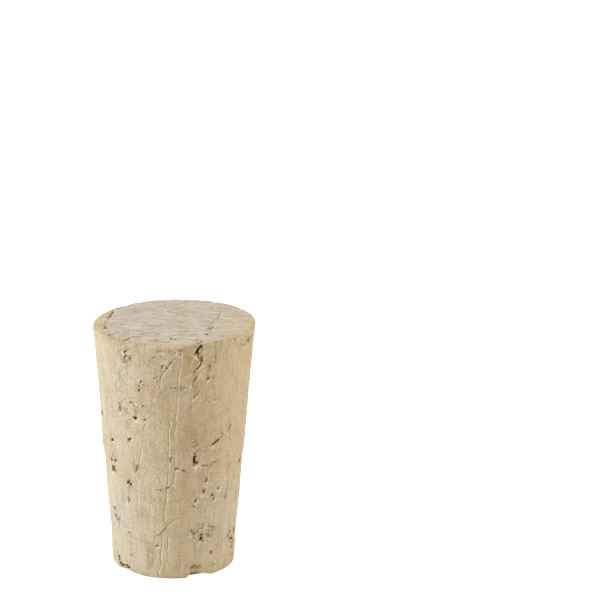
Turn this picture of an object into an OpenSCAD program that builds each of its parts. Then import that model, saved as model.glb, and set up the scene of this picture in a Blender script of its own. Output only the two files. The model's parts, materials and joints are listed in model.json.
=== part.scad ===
// Tapered stopper cut from one piece of natural cork, standing on its narrow end.
// +Z runs up the axis, the front faces -Y, and the origin is the middle of the narrow end.

/* [Stopper] */
// Length along the axis
stopper_l = 30.8; // [24:0.1:40]
// Diameter of the wide end
wide_d = 20; // [18:0.1:26]
// Diameter of the narrow end
narrow_d = 15.2; // [11:0.1:16.4]
// Slope of the wide end, which was not cut quite square to the axis, in degrees
wide_end_slope = 1.4; // [0:0.1:3]
// Bevel worn on the edge of the wide end
wide_edge = 0.3; // [0.1:0.05:0.8]
// Radius of the rounded edge of the narrow end
narrow_edge_r = 0.35; // [0.1:0.05:0.8]

/* [Flank] */
// Height of the foot, the lowest stretch of the flank, which hardly tapers
foot_h = 4.9; // [3:0.1:7]
// How much further out the flank is at the top of the foot than at the narrow end
foot_taper = 0.22; // [0:0.01:0.5]
// Height of the ledge that the cutter left round the flank
ledge_z = 13.9; // [9:0.1:16]
// Height over which the ledge steps out
ledge_h = 1; // [0.4:0.1:2]
// How far the ledge steps out
ledge_step = 0.17; // [0:0.01:0.4]
// How far the flank above the ledge is hollow at its middle
upper_hollow = 0.1; // [0:0.01:0.3]
// How far the flank between the foot and the ledge swells at its middle
lower_belly = 0.1; // [0:0.01:0.3]

/* [Pores] */
// Depth of a pore, as a multiple of its width
pore_depth_ratio = 1.5; // [0.5:0.1:2.5]
// Number of pores scattered over the back half
back_pores = 22; // [0:1:40]
// Length of the shortest pore at the back
back_pore_l = 0.5; // [0.3:0.1:1]
// How much longer the longest pore at the back is
back_pore_l_spread = 0.9; // [0:0.1:2]
// Width of a pore at the back, as a share of its length
back_pore_slimness = 0.45; // [0.25:0.05:0.8]
// Height of the lowest pore at the back, in per cent of the stopper's length
back_pore_low = 7; // [3:1:30]
// Height of the highest pore at the back, in per cent of the stopper's length
back_pore_high = 95; // [60:1:96]

/* [Foot chips] */
// Direction of the large chip in the edge of the narrow end, in degrees from the front to +X
chip_angle = 26; // [0:1:60]
// Width of the large chip along the edge
chip_w = 3.6; // [2:0.1:5]
// Height of the large chip next to the break
chip_h = 0.7; // [0.2:0.05:1]
// Direction of the small chip
small_chip_angle = -47; // [-70:1:-20]
// Width of the small chip
small_chip_w = 3; // [2:0.1:4]
// Height of the small chip
small_chip_h = 0.25; // [0.1:0.05:0.5]
// Width of the steep break at the left end of a chip
chip_break_w = 0.5; // [0.1:0.05:0.8]
// Width over which a chip keeps its full height, before it thins out to the right
chip_flat_w = 0.7; // [0.2:0.1:1]
// How far a chip reaches in from the edge
chip_reach = 1.2; // [0.5:0.1:2]

/* [Hidden] */

wide_r = wide_d / 2;
narrow_r = narrow_d / 2;
foot_r = narrow_r + foot_taper;
ledge_top_z = ledge_z + ledge_h;
// Cutters stand this far proud of the surface that they cut
clear = 0.4;
// Spare length above the wide end, which the sloping cut takes off
spare_l = clear + wide_r * tan(wide_end_slope);
// The back half starts this many degrees round from the front, and its pores lean this much
back_start = 105;
back_lean = 40;
flank_steps = 6;
edge_steps = 5;
round_fn = 128;
pore_fn = 48;

// The flank's pores and splits: [degrees from the front towards +X, height in per cent of
// the length, length, width, lean of the top towards +X in degrees]
SPLITS = [
    [17, 98, 1.4, 0.35, 32],
    [17.5, 95.6, 0.8, 0.25, -15],
    [20.5, 92.8, 1.1, 0.3, 5],
    [16, 89.6, 1.1, 0.3, 42],
    [15, 85.3, 1, 0.3, 30],
    [36.5, 58.4, 1.6, 0.25, 58],
    [49.5, 62, 0.8, 0.25, 25],
    [-37, 95.6, 1.2, 0.3, 10],
    [-33, 93.6, 0.8, 0.3, 20],
    [-61, 3.8, 1, 0.3, -25]
];
FLANK_PORES = [
    [-31, 68, 0.65, 0.35, -10],
    [-58.5, 55.7, 0.5, 0.45, -30],
    [-36.5, 58.6, 0.5, 0.3, 55],
    [-24.5, 84, 0.4, 0.25, -20],
    [-26, 80, 0.4, 0.25, 0],
    [-24, 73.6, 0.4, 0.25, 30],
    [-45.5, 71, 1, 0.3, -5],
    [-63, 46.4, 0.45, 0.4, 0],
    [-55.5, 47, 0.4, 0.35, 0],
    [-60.5, 43, 0.8, 0.6, 0],
    [-31.5, 46.3, 1.1, 0.4, 15],
    [-41.8, 39.3, 0.65, 0.35, 20],
    [-38.5, 39, 0.45, 0.35, 20],
    [-41.5, 32, 0.8, 0.25, 0],
    [-62, 25, 0.5, 0.4, 0],
    [-62, 22.4, 0.5, 0.35, 0],
    [-54, 2.4, 0.5, 0.35, 70],
    [-2.3, 52, 0.75, 0.25, 10],
    [16.6, 51.6, 1.1, 0.3, -5],
    [19.4, 50, 0.35, 0.25, 90],
    [27.5, 41.6, 0.8, 0.25, 20],
    [26, 37, 0.7, 0.3, 5],
    [34.3, 35, 0.4, 0.3, -20],
    [36, 33.2, 0.6, 0.3, -10],
    [25.6, 18.3, 0.45, 0.35, 90],
    [25, 16.6, 0.35, 0.3, 0],
    [37, 9.8, 0.4, 0.35, 0],
    [26, 85.5, 0.4, 0.3, 0],
    [75, 44.4, 0.9, 0.45, 60],
    [72.5, 14.3, 0.9, 0.35, 0],
    [67.5, 11.8, 0.45, 0.4, 0],
    [66, 97.4, 0.9, 0.4, 70],
    [18, 5.4, 0.4, 0.3, 80]
];
// Lenticels, which run front to back through the bark and lie open along the two sides
SIDE_LENTICELS = [
    [88, 78, 3, 0.5, 88],
    [101, 60, 2.2, 0.7, 93],
    [84, 30, 1.8, 0.45, 85],
    [-92, 88, 2.4, 0.55, 92],
    [-84, 64, 3.2, 0.45, 87],
    [-99, 33, 2, 0.7, 94]
];
// Pores in the two ends: [degrees from the front towards +X, distance from the axis in per
// cent of the end's radius, length, width, turn of the length away from the axis]
WIDE_END_PORES = [
    [-113.5, 86, 2.2, 0.25, 100],
    [-78.5, 85.5, 1, 0.35, 78],
    [-58.5, 90, 0.5, 0.35, 60],
    [36.5, 67.5, 0.6, 0.45, 53],
    [59.5, 53.5, 1.6, 0.25, -80]
];
NARROW_END_PORES = [
    [124, 38, 0.6, 0.4, -100],
    [-57, 49, 0.5, 0.35, 60],
    [-165, 60, 1.1, 0.3, 155]
];

function mix(a, b, t) = a + (b - a) * t;
// An irregular number from 0 to 1 for each i, with a different row of them for each k
function scatter(i, k) = let (x = 1000 * sin(i * k)) x - floor(x);
// Radius that an even taper from the foot to the wide end has at height z
function even_r(z) = mix(foot_r, wide_r, (z - foot_h) / (stopper_l - foot_h));
ledge_low_r = even_r(ledge_z) - ledge_step / 2;
ledge_top_r = even_r(ledge_top_z) + ledge_step / 2;
// Radii of the two bowed stretches, as t goes from 0 at the bottom to 1 at the top
function lower_r(t) = mix(foot_r, ledge_low_r, t) + 4 * lower_belly * t * (1 - t);
function upper_r(t) = mix(ledge_top_r, wide_r, t) - 4 * upper_hollow * t * (1 - t);
// Radius of the finished flank at height z
function flank_r(z) =
    z < foot_h ? mix(narrow_r, foot_r, z / foot_h) :
    z < ledge_z ? lower_r((z - foot_h) / (ledge_z - foot_h)) :
    z < ledge_top_z ? mix(ledge_low_r, ledge_top_r, (z - ledge_z) / ledge_h) :
    upper_r((z - ledge_top_z) / (stopper_l - ledge_top_z));

// The turned form, left a little long at the wide end
module blank() {
    edge = [for (i = [0:edge_steps]) let (a = 90 * i / edge_steps)
        [narrow_r - narrow_edge_r * (1 - sin(a)), narrow_edge_r * (1 - cos(a))]];
    lower = [for (i = [0:flank_steps]) mix(foot_h, ledge_z, i / flank_steps)];
    upper = [for (i = [0:flank_steps]) mix(ledge_top_z, stopper_l, i / flank_steps)];
    top_z = stopper_l + spare_l;
    flank = [for (z = concat(lower, upper, [top_z])) [flank_r(z), z]];
    rotate_extrude($fn = round_fn)
        polygon(concat([[0, 0]], edge, flank, [[0, top_z]]));
}

// Puts what follows on the wide end's sloping plane, with +Z out of the cork
module on_wide_end() {
    translate([0, 0, stopper_l]) rotate([0, -wide_end_slope, 0]) children();
}

// All that lies under the sloping cut and inside its bevelled edge
module under_wide_end() {
    reach = 2 * wide_edge + spare_l;
    on_wide_end() rotate_extrude($fn = round_fn) polygon([
        [0, -2 * stopper_l],
        [wide_r + reach, -2 * stopper_l],
        [wide_r + reach, -wide_edge - reach],
        [wide_r - wide_edge, 0],
        [0, 0]
    ]);
}

// A pointed oval along Y, where two equal circles meet
module oval(l, w) {
    r = (l * l + w * w) / (4 * w);
    intersection() {
        translate([r - w / 2, 0]) circle(r, $fn = pore_fn);
        translate([w / 2 - r, 0]) circle(r, $fn = pore_fn);
    }
}

// A hole of oval section, from just above the XY plane down to its depth
module pore(l, w) {
    depth = w * pore_depth_ratio;
    translate([0, 0, -depth]) linear_extrude(depth + clear) oval(l, w);
}

// A pore that goes straight in through the flank
module flank_pore(angle, height, l, w, lean) {
    z = stopper_l * height / 100;
    rotate([0, 0, angle]) translate([0, -flank_r(z), z])
        rotate([90, 0, 0]) rotate([0, 0, -lean]) pore(l, w);
}

// Pore number i of those at the back
module back_pore(i) {
    angle = mix(back_start, 360 - back_start, scatter(i, 127));
    height = mix(back_pore_low, back_pore_high, scatter(i, 311));
    l = back_pore_l + back_pore_l_spread * pow(scatter(i, 71), 2);
    lean = mix(-back_lean, back_lean, scatter(i, 233));
    flank_pore(angle, height, l, l * back_pore_slimness, lean);
}

module flank_openings() {
    for (p = concat(SPLITS, FLANK_PORES, SIDE_LENTICELS))
        flank_pore(p[0], p[1], p[2], p[3], p[4]);
    for (i = [1:1:back_pores]) back_pore(i);
}

// A pore in an end of radius r, which faces up
module end_pore(r, angle, distance, l, w, turn) {
    rotate([0, 0, angle]) translate([0, -r * distance / 100, 0])
        rotate([0, 0, turn]) pore(l, w);
}

module end_openings() {
    for (p = WIDE_END_PORES) on_wide_end() end_pore(wide_r, p[0], p[1], p[2], p[3], p[4]);
    for (p = NARROW_END_PORES) mirror([0, 0, 1])
        end_pore(narrow_r, p[0], p[1], p[2], p[3], p[4]);
}

// A piece broken out of the edge of the narrow end
module foot_chip(angle, w, h) {
    break_x = chip_break_w - w / 2;
    rotate([0, 0, angle]) translate([0, chip_reach - narrow_r, 0])
        rotate([90, 0, 0]) linear_extrude(chip_reach + clear) polygon([
            [-w / 2, -clear],
            [-w / 2, 0],
            [break_x, h],
            [break_x + chip_flat_w, h],
            [w / 2, 0],
            [w / 2, -clear]
        ]);
}

module stopper() {
    color("#cdbb99") difference() {
        intersection() {
            blank();
            under_wide_end();
        }
        flank_openings();
        end_openings();
        foot_chip(chip_angle, chip_w, chip_h);
        foot_chip(small_chip_angle, small_chip_w, small_chip_h);
    }
}

stopper();
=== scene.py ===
# %% [markdown]
# # A natural cork stopper
#
# The piece is one tapered plug cut from cork oak bark. Bark grows in yearly layers, and
# narrow breathing channels, the lenticels, run through it from front to back. A stopper is
# cut with its axis along the tree, so its front shows the channels end on, as brown pores,
# its sides show them lengthways, and its two ends show the layers as fine lines.
#
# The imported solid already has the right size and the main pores. This lesson gives it one
# dense surface with the same form, and a material that knows which way the bark grew.

# %% Load the frame
import json
import math

import bpy
import numpy as np
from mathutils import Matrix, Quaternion, Vector


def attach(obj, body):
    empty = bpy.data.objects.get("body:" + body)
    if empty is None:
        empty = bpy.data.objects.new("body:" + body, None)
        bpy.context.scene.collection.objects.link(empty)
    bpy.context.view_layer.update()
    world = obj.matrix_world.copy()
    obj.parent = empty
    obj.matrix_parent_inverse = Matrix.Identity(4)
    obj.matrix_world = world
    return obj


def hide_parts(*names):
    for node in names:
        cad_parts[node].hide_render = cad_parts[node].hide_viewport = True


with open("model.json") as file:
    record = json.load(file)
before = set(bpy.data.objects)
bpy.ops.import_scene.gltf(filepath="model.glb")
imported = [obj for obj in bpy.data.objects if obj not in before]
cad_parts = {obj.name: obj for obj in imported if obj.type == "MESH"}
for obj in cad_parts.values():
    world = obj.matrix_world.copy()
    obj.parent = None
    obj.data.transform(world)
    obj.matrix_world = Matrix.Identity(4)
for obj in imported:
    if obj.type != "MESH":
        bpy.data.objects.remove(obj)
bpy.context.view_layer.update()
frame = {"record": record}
MM = 0.001  # the frame is in metres, and this lesson counts in millimetres
mounts = {mount["name"]: mount for mount in frame["record"]["mounts"]}
wide_end = mounts["wide_end"]
length = wide_end["pos_m"][2] / MM
end_slope = -wide_end["axis"][0] / wide_end["axis"][2]
print(f"length {length:.1f} mm, wide end slopes {math.degrees(math.atan(end_slope)):.1f} degrees")

# %% [markdown]
# ## The turned form
#
# A cork this size is ground to shape against a wheel while it spins, so it is a solid of
# revolution. Its outline is a straight taper, bowed a little, with a foot that hardly
# tapers and a small ledge where the grinding stopped and started again. A function that
# gives the radius at each height holds all of that, and everything later asks it where
# the surface is.

# %% The flank's outline, in millimetres
wide_r = 10.0
narrow_r = 7.6
wide_edge = 0.3  # edge of the wide end, bevelled on the solid and rounded over here
narrow_edge = 0.35  # rounding on the edge of the narrow end
foot_h = 4.9
foot_flare = 0.22  # growth of the radius from the narrow end to the top of the foot
foot_r = narrow_r + foot_flare
ledge_z = 13.9
ledge_h = 1.0
ledge_top_z = ledge_z + ledge_h
ledge_step = 0.17
upper_hollow = 0.1
lower_belly = 0.1


def even_radius(z):
    """Radius of a straight taper from the top of the foot to the wide end."""
    return foot_r + (wide_r - foot_r) * (z - foot_h) / (length - foot_h)


def outline(z):
    """Radius at height z: four stretches, of which two are bowed by a parabola."""
    low_r = even_radius(ledge_z) - ledge_step / 2
    top_r = even_radius(ledge_top_z) + ledge_step / 2
    past = 2.0  # the taper goes on this far, for the high side of the sloping end
    heights = [0.0, foot_h, ledge_z, ledge_top_z, length, length + past]
    past_r = wide_r + past * (wide_r - top_r) / (length - ledge_top_z)
    radii = [narrow_r, foot_r, low_r, top_r, wide_r, past_r]
    lower = np.clip((z - foot_h) / (ledge_z - foot_h), 0, 1)
    upper = np.clip((z - ledge_top_z) / (length - ledge_top_z), 0, 1)
    bow = lower_belly * lower * (1 - lower) - upper_hollow * upper * (1 - upper)
    return np.interp(z, heights, radii) + 4 * bow


def flank_radius(z):
    """The outline averaged over a short stretch, which rounds its corners as wear does."""
    soft = 0.45
    return (outline(z - soft) + 2 * outline(z) + outline(z + soft)) / 4


for z in (0.0, foot_h, ledge_z, length):
    print(f"radius at {z:4.1f} mm: {flank_radius(z):.2f} mm")

# %% [markdown]
# ## Smooth random numbers
#
# Nothing on bark is quite straight. A grid of random numbers, blended smoothly between its
# points, gives a wander that can be worked out for every point of the surface at once, and
# a seed makes it the same each time.

# %% Noise in space


def noise(points, size, seed):
    """Random numbers from -1 to 1 on a grid with this spacing, blended by smoothstep."""
    cells = 64  # along each side of the grid, after which it repeats
    table = np.random.default_rng(seed).uniform(-1, 1, (cells, cells, cells))
    place = points / size
    low = np.floor(place).astype(int)
    t = place - low
    t = t * t * (3 - 2 * t)
    total = np.zeros(points.shape[:-1])
    for corner in np.ndindex(2, 2, 2):
        weight = np.prod(np.where(corner, t, 1 - t), axis=-1)
        cell = (low + corner) % cells
        total += weight * table[cell[..., 0], cell[..., 1], cell[..., 2]]
    return total


print("noise at the origin:", noise(np.zeros((1, 3)), 1.0, 1)[0].round(3))

# %% [markdown]
# ## One closed surface
#
# The skin is a grid. One direction runs round the axis. The other starts at the middle of
# the narrow end, goes out to its edge, up the flank, over the edge of the wide end and in
# to its middle. Rows are about 0.15 mm apart on the flank and points up to 0.18 mm apart
# round it, close enough for a pore half a millimetre wide to be a real hole in the mesh.

# %% The grid of the skin
around = 356
narrow_rings = 24
edge_rows = 4
flank_rows = 200
wide_rings = 40

turn = np.arange(around) * 2 * math.pi / around  # from the front, towards +X
out_x, out_y = np.sin(turn), -np.cos(turn)


def wide_end_z(x):
    """Height of the sloping wide end above a point x across."""
    return length + end_slope * x


def ring(radius, z):
    """One ring of points at this radius and height, which both may change round the ring."""
    radius = radius * np.ones(around)
    return np.stack([radius * out_x, radius * out_y, z * np.ones(around)], axis=1)


def narrow_end_rings():
    """Flat rings from near the middle to the edge, then a quarter round up to the flank."""
    flat_r = narrow_r - narrow_edge
    rings = [ring(flat_r * (k + 1) / narrow_rings, 0.0) for k in range(narrow_rings)]
    for a in np.linspace(0, math.pi / 2, edge_rows + 1)[1:]:
        rings.append(ring(flat_r + narrow_edge * math.sin(a), narrow_edge * (1 - math.cos(a))))
    return rings


def flank_rings():
    """Rings from one edge to the other, with the radius that the outline gives."""
    top = wide_end_z(wide_r * out_x) - wide_edge
    rings = []
    for t in np.linspace(0, 1, flank_rows + 1)[1:]:
        z = narrow_edge + (top - narrow_edge) * t
        rings.append(ring(flank_radius(z), z))
    return rings


def wide_end_rings(top_r):
    """A quarter round over the edge, then flat rings in to near the middle."""
    rings = []
    for a in np.linspace(0, math.pi / 2, edge_rows + 1)[1:]:
        radius = top_r - wide_edge * (1 - math.cos(a))
        rings.append(ring(radius, wide_end_z(radius * out_x) - wide_edge * (1 - math.sin(a))))
    flat_r = top_r - wide_edge
    for k in range(1, wide_rings):
        radius = flat_r * (1 - k / wide_rings)
        rings.append(ring(radius, wide_end_z(radius * out_x)))
    return rings


lower_skin = narrow_end_rings() + flank_rings()
flank_top_r = np.hypot(lower_skin[-1][:, 0], lower_skin[-1][:, 1])
skin = np.array(lower_skin + wide_end_rings(flank_top_r))
rows = len(skin)
# the rows of the flank, with its edges at both ends
first_flank_row = narrow_rings - 1
last_flank_row = narrow_rings + edge_rows + flank_rows + edge_rows - 1
print(f"skin of {rows} rings of {around} points, {2 * rows * around} triangles")

# %% [markdown]
# ## Which way is out
#
# Pores go in along the surface's normal. It is worked out from the grid itself: the cross
# product of the step round the ring and the step to the next row.

# %% Normals of the smooth skin


def normals_of(grid):
    """Unit cross product of the difference round the ring and the difference up the rows."""
    round_step = np.roll(grid, -1, axis=1) - np.roll(grid, 1, axis=1)
    row_step = np.gradient(grid, axis=0)
    normal = np.cross(round_step, row_step)
    return normal / np.linalg.norm(normal, axis=2, keepdims=True)


outward = normals_of(skin)
print("normal at the front:", outward[rows // 2, 0].round(2))

# %% [markdown]
# ## Places on the flank
#
# Everything on the flank is placed by its direction from the front and its height. These
# arrays hold both for every point of the skin, so that a mark can be worked out for the
# whole surface at once, as a distance in millimetres on the unrolled flank.

# %% Direction, height and radius of every point
angle_at = np.degrees(np.arctan2(skin[..., 0], -skin[..., 1]))
radius_at = np.hypot(skin[..., 0], skin[..., 1])
height_at = skin[..., 2]
on_flank = np.zeros(skin.shape[:2], dtype=bool)
on_flank[first_flank_row:last_flank_row + 1] = True
on_wide_end = np.zeros(skin.shape[:2], dtype=bool)
on_wide_end[last_flank_row:] = True


def flank_offset(angle, height):
    """Distance round the flank and distance up it, in mm, from a place to every point."""
    round_flank = (angle_at - angle + 180) % 360 - 180
    return np.radians(round_flank) * radius_at, height_at - height * length / 100


def end_offset(x, y):
    """Distance in mm along X and along Y from a place on the wide end to every point."""
    return skin[..., 0] - x, skin[..., 1] - y


def soft_spots(spots):
    """The strongest of the spots at every point: strength * exp(-d^2), where d is the
    distance as a share of the spot's half width and half height."""
    strongest = np.zeros(skin.shape[:2])
    for angle, height, half_w, half_h, strength in spots:
        x, z = flank_offset(angle, height)
        strongest = np.maximum(strongest, strength * np.exp(-(x / half_w) ** 2 - (z / half_h) ** 2))
    return strongest * on_flank


print(f"{on_flank.sum()} of the {on_flank.size} points are on the flank")

# %% [markdown]
# ## Pores, splits and lenticels
#
# Each opening is an oval with a length, a width and a lean. The larger ones have nearly the
# same places as in the solid. The last two numbers say how dark an opening looks, which
# also makes it deeper, and how much rust-brown powder, the dry filling of a lenticel, lies
# round it.

# %% Where the openings are
# degrees from the front towards +X, height in % of the length, length mm, width mm,
# lean of the top towards +X in degrees, darkness, powder
SPLITS = [
    (17, 98, 1.3, 0.26, 32, 1, 0.3),
    (17.4, 95.8, 0.8, 0.17, -15, 1, 0.2),
    (19.8, 93.2, 0.8, 0.12, 5, 0.4, 0.3),
    (16.1, 89.7, 0.7, 0.14, 42, 0.4, 0.3),
    (15.1, 85.3, 0.9, 0.24, 30, 0.4, 0.3),
    (35.6, 58.1, 1.1, 0.1, 58, 0.4, 0.1),
    (49.5, 62.1, 0.8, 0.2, 25, 0.5, 0.1),
    (-37.2, 95, 0.6, 0.15, -15, 0.5, 0.4),
    (-33.1, 93, 0.5, 0.15, 15, 0.5, 0.4),
    (-60.8, 3.7, 1, 0.3, -25, 0.8, 0.3),
]
PORES = [
    (-31.2, 68.1, 0.55, 0.3, -10, 0.8, 0),
    (-58.3, 55.7, 0.44, 0.42, -30, 1, 0),
    (-36.7, 58.6, 0.44, 0.26, 55, 0.9, 0),
    (-24.5, 84.1, 0.32, 0.2, -20, 0.6, 0.1),
    (-26.2, 82.1, 0.22, 0.14, 10, 0.4, 0.1),
    (-26.1, 80.1, 0.24, 0.16, 0, 0.5, 0.1),
    (-23.9, 73.6, 0.28, 0.18, 30, 0.5, 0.1),
    (-45.4, 71.1, 1, 0.3, -5, 0.4, 0.2),
    (-62.8, 46.5, 0.36, 0.4, 0, 0.8, 0.2),
    (-55.5, 47.1, 0.3, 0.36, 0, 0.8, 0.2),
    (-60.6, 42.9, 0.8, 1.1, 0, 0.6, 1),
    (-31.6, 46, 0.9, 0.2, 20, 0.4, 0.1),
    (-41.6, 39.6, 0.56, 0.27, 25, 1, 0.3),
    (-38.4, 39.1, 0.36, 0.3, 30, 1, 0.3),
    (-41.2, 31.9, 0.8, 0.2, 0, 0.5, 0.3),
    (-64.1, 25.3, 0.5, 0.34, 0, 0.5, 0.2),
    (-62.4, 22.4, 0.44, 0.42, 0, 0.9, 0.4),
    (-47, 1.6, 0.5, 0.36, 70, 0.9, 0.3),
    (-2.3, 52.1, 0.75, 0.24, 10, 0.5, 0.3),
    (16.7, 51.6, 1.15, 0.3, -4, 1, 0.4),
    (19.4, 50, 0.28, 0.26, 90, 1, 0.4),
    (16.1, 49, 0.45, 0.18, 90, 0.6, 0.2),
    (27.8, 41.8, 0.8, 0.24, 20, 0.5, 0.1),
    (25.9, 37.1, 0.7, 0.3, 5, 0.6, 0.1),
    (34.3, 35, 0.4, 0.26, -20, 0.6, 0.1),
    (36.1, 33.2, 0.6, 0.28, -10, 0.6, 0.1),
    (25.6, 18.3, 0.46, 0.36, 90, 0.6, 0.5),
    (25, 16.7, 0.42, 0.34, 0, 1, 0.1),
    (36.9, 9.8, 0.42, 0.33, 0, 0.6, 0),
    (25.8, 85.5, 0.4, 0.3, 0, 0.6, 0),
    (73.6, 44.5, 0.9, 0.42, 90, 0.9, 0.5),
    (72.5, 14.3, 1, 0.5, 0, 0.9, 0.3),
    (67.4, 11.8, 0.46, 0.5, 0, 0.9, 0.3),
    (67, 97.1, 1, 0.3, 72, 0.6, 0.8),
    (17.2, 5, 0.3, 0.2, 10, 0.6, 0.4),
    (20.3, 5.5, 0.3, 0.14, 90, 0.5, 0.4),
]
SIDE_LENTICELS = [
    (88, 78, 3, 0.5, 88, 0.6, 0.4),
    (101, 60, 2.2, 0.6, 93, 0.6, 0.5),
    (84, 30, 1.8, 0.4, 85, 0.7, 0.4),
    (-92, 88, 2.4, 0.5, 92, 0.6, 0.4),
    (-84, 64, 3.2, 0.4, 87, 0.6, 0.5),
    (-99, 33, 2, 0.6, 94, 0.6, 0.4),
]
# degrees from the front, distance from the axis in % of the end's radius, then as above,
# with the lean counted from the line towards the axis
WIDE_END_PORES = [
    (-113.6, 86, 2.2, 0.25, 100, 0.6, 0.4),
    (-78.6, 85.5, 1, 0.4, 78, 0.6, 0.3),
    (36.6, 67.5, 0.55, 0.5, 53, 1, 0),
    (59.3, 53.4, 1.6, 0.25, -80, 0.6, 0.2),
    (-58.4, 90.3, 0.5, 0.4, 60, 0.8, 0.3),
    (-3.3, 68.1, 0.4, 0.35, 0, 0.7, 0),
    (1.6, 73.1, 0.35, 0.3, 0, 0.6, 0),
    (20.4, 80.5, 0.4, 0.4, 0, 0.6, 0.1),
    (21.8, 88.5, 0.4, 0.35, 0, 0.7, 0.1),
    (8, 92.3, 0.4, 0.3, 90, 0.6, 0.2),
    (17.9, 95.5, 0.5, 0.35, 90, 0.7, 0.3),
    (-39, 90.5, 1, 0.14, 0, 0.5, 0.3),
]
NARROW_END_PORES = [
    (124, 38, 0.6, 0.4, -100, 1, 0.1),
    (-57, 49, 0.5, 0.35, 60, 0.9, 0.1),
    (-165, 60, 1.1, 0.3, 155, 0.6, 0.4),
]
print(len(SPLITS + PORES + SIDE_LENTICELS), "openings placed on the flank by hand")

# %% The pores scattered over the back


def scatter(i, k):
    """An irregular number from 0 to 1: the fraction left by a large multiple of a sine."""
    x = 1000 * math.sin(math.radians(i * k))
    return x - math.floor(x)


def back_pore(i):
    """Pore i of the back half, at the place that the solid gives it."""
    angle = 105 + 150 * scatter(i, 127)
    height = 7 + 88 * scatter(i, 311)
    size = 0.5 + 0.9 * scatter(i, 71) ** 2
    lean = -40 + 80 * scatter(i, 233)
    return (angle, height, size, size * 0.4, lean, 0.6 + 0.4 * scatter(i, 53), 0.4 * scatter(i, 17))


BACK_PORES = [back_pore(i) for i in range(1, 23)]
print(len(BACK_PORES), "pores at the back")

# %% [markdown]
# ## Pits
#
# Between the pores are many shallow brown pits, a fifth to half a millimetre long. Those at
# the front are placed one by one: direction, height, length and darkness. The back gets
# about as many, scattered by the same rule as its pores.

# %% Where the pits are
PITS = [
    (-8, 91.1, 0.36, 0.6), (-5.2, 90.7, 0.36, 0.6), (-3.5, 91.8, 0.34, 0.5), (-2.2, 92.8, 0.28, 0.5),
    (-11, 97.3, 0.26, 0.5), (-14, 94.8, 0.28, 0.5), (0.7, 97.2, 0.24, 0.5), (3.8, 96.4, 0.26, 0.5),
    (-14.1, 86.1, 0.32, 0.3), (-33.9, 74.4, 0.32, 0.5), (-45.7, 69.6, 0.3, 0.5),
    (-19.8, 74.6, 0.22, 0.4), (-22.6, 68.1, 0.34, 0.35), (-1.6, 82.4, 0.26, 0.5), (0.8, 82.3, 0.26, 0.5),
    (6.5, 82.5, 0.26, 0.6), (2.5, 79.3, 0.22, 0.3), (14.9, 78, 0.3, 0.6), (17.4, 79.4, 0.26, 0.5),
    (12.6, 74.3, 0.28, 0.6), (1.9, 48, 0.28, 0.6), (4.2, 48.2, 0.18, 0.3), (8.3, 46.9, 0.32, 0.5),
    (-5.6, 55.3, 0.22, 0.4), (-4.5, 39.9, 0.24, 0.4), (-13.4, 43.5, 0.2, 0.3), (-10.4, 38.6, 0.2, 0.3),
    (-18.5, 35, 0.2, 0.3), (40.8, 37.1, 0.34, 0.5), (18.8, 33.5, 0.42, 0.6), (17.4, 31.2, 0.26, 0.3),
    (-15, 14.1, 0.32, 0.5), (12.4, 19, 0.22, 0.5), (16, 20.2, 0.2, 0.4), (19.2, 19.2, 0.26, 0.6),
    (18.5, 17.3, 0.2, 0.5), (21.7, 19.8, 0.22, 0.5), (32.9, 17.4, 0.2, 0.4), (26.2, 21.3, 0.28, 0.5),
    (28.6, 23, 0.24, 0.4), (31, 16.9, 0.2, 0.4), (37, 19.1, 0.24, 0.5), (27.7, 15.4, 0.2, 0.4),
    (41.2, 4.1, 0.36, 0.4), (61.9, 15.4, 0.36, 0.6), (59.7, 14.2, 0.36, 0.6), (63, 11.3, 0.3, 0.5),
    (68.7, 7.9, 0.5, 0.6), (73, 4.6, 0.5, 0.6), (-61.9, 4.7, 0.36, 0.7), (-59.3, 2.3, 0.4, 0.8),
    (-55.2, 1.5, 0.5, 0.9), (-49.3, 2.6, 0.36, 0.7), (56.9, 97.9, 0.3, 0.5), (59.8, 95.4, 0.36, 0.5),
    (-59.3, 57.7, 0.32, 0.5), (32.8, 57.1, 0.36, 0.8), (-61.9, 25.7, 0.3, 0.5), (32.7, 76, 0.22, 0.3),
    (49.3, 50.1, 0.2, 0.3), (-78.9, 51.1, 0.4, 0.6), (-43.6, 17.6, 0.36, 0.3), (-42.4, 8, 0.3, 0.2),
]
PITS += [(100 + 160 * scatter(i, 97), 4 + 92 * scatter(i, 139), 0.24 + 0.2 * scatter(i, 41),
          0.3 + 0.4 * scatter(i, 29)) for i in range(1, 61)]
pit_ovals = [(angle, height, size, size * (0.5 + 0.4 * scatter(i, 61)), 180 * scatter(i, 83), dark, 0.0)
             for i, (angle, height, size, dark) in enumerate(PITS)]
print(len(PITS), "pits")

# %% From a row of numbers to an oval in space


def flank_oval(angle, height, size, width, lean, dark, powder):
    """An oval on the flank: its centre, its axes along, across and out, and its sizes."""
    a, tilt, z = math.radians(angle), math.radians(lean), length * height / 100
    r = float(flank_radius(z))
    out = np.array([math.sin(a), -math.cos(a), 0.0])
    right, up = np.array([math.cos(a), math.sin(a), 0.0]), np.array([0.0, 0.0, 1.0])
    along = math.sin(tilt) * right + math.cos(tilt) * up
    across = math.cos(tilt) * right - math.sin(tilt) * up
    return out * r + up * z, along, across, out, size, width, dark, powder


def end_oval(up, end_r, end_z, angle, distance, size, width, lean, dark, powder):
    """The same on an end, which faces up (1) or down (-1)."""
    a, tilt = math.radians(angle), math.radians(lean)
    r = end_r * distance / 100
    centre = np.array([r * math.sin(a), -r * math.cos(a), end_z(r * math.sin(a))])
    along = np.array([-math.sin(a + tilt), math.cos(a + tilt), 0.0])
    across = np.array([math.cos(a + tilt), math.sin(a + tilt), 0.0])
    return centre, along, across, np.array([0.0, 0.0, up]), size, width, dark, powder


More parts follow.
